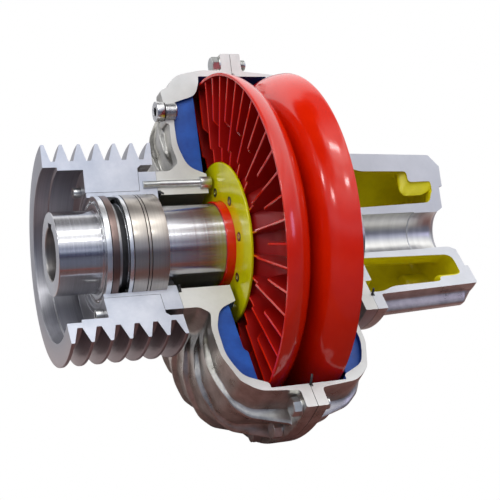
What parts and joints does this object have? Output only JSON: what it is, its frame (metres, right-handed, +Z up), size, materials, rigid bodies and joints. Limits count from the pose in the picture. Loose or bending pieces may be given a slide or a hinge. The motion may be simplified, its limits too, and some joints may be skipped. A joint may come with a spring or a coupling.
{
  "type": "fluid coupling",
  "caption": "Sectioned double-circuit fluid coupling: hollow shaft and red bladed double wheel on bearings inside a bolted bladed casing with V-belt pulley and delay chamber",
  "frame": {"origin": "on the axis of rotation, in the plane of the hollow shaft's front end", "axes": "+X along the axis from the pulley to the delay chamber, +Z up, -Y towards the cut-away side"},
  "size_m": [0.4725, 0.4006, 0.4226],
  "materials": {
    "machined_aluminium": "turned, clean",
    "cast_aluminium": "as cast outside, pale where it is cut",
    "chamber_aluminium": "cut faces flat and pale, cast outside",
    "blue_paint": "glossy, slightly mottled",
    "red_paint": "glossy",
    "yellow_paint": "glossy",
    "polished_steel": "ground and polished",
    "bearing_steel": "ground",
    "brass_cage": "machined",
    "zinc_screw": "zinc plated",
    "dark_screw": "black oxide",
    "plug_steel": "bright",
    "black_rubber": "matt"
  },
  "bodies": {
    "casing": {"v_belt_pulley": "machined_aluminium", "pulley_screws": "zinc_screw", "bearing_carrier": "machined_aluminium", "front_shaft_seal": "black_rubber", "carrier_screws": "zinc_screw", "carrier_o_ring": "black_rubber", "bearing_outer_rings": "bearing_steel", "bearing_circlip": "dark_screw", "front_casing": "cast_aluminium", "rear_casing": "cast_aluminium", "flange_bolts": "zinc_screw", "flange_seal": "black_rubber", "filler_plug": "plug_steel", "filler_plug_ring": "black_rubber", "delay_chamber": "chamber_aluminium", "chamber_o_ring": "black_rubber", "chamber_screws": "zinc_screw", "rear_shaft_seal": "black_rubber"},
    "rotor": {"hollow_shaft": "polished_steel", "bearing_inner_rings": "bearing_steel", "spacer_ring": "polished_steel", "front_runner": "red_paint", "rear_runner": "red_paint", "throttle_plate": "yellow_paint", "runner_screws": "dark_screw"},
    "cages": {"bearing_cages": "brass_cage"}
  },
  "joints": [
    {"name": "rotor_spin", "type": "hinge", "parent": "casing", "child": "rotor", "pos_m": [0, 0, 0], "axis": [1, 0, 0], "continuous": true},
    {"name": "cage_spin", "type": "hinge", "parent": "casing", "child": "cages", "pos_m": [0, 0, 0], "axis": [1, 0, 0], "continuous": true}
  ],
  "couplings": [
    {"joint": "cage_spin", "follows": "rotor_spin", "ratio": 0.482}
  ]
}
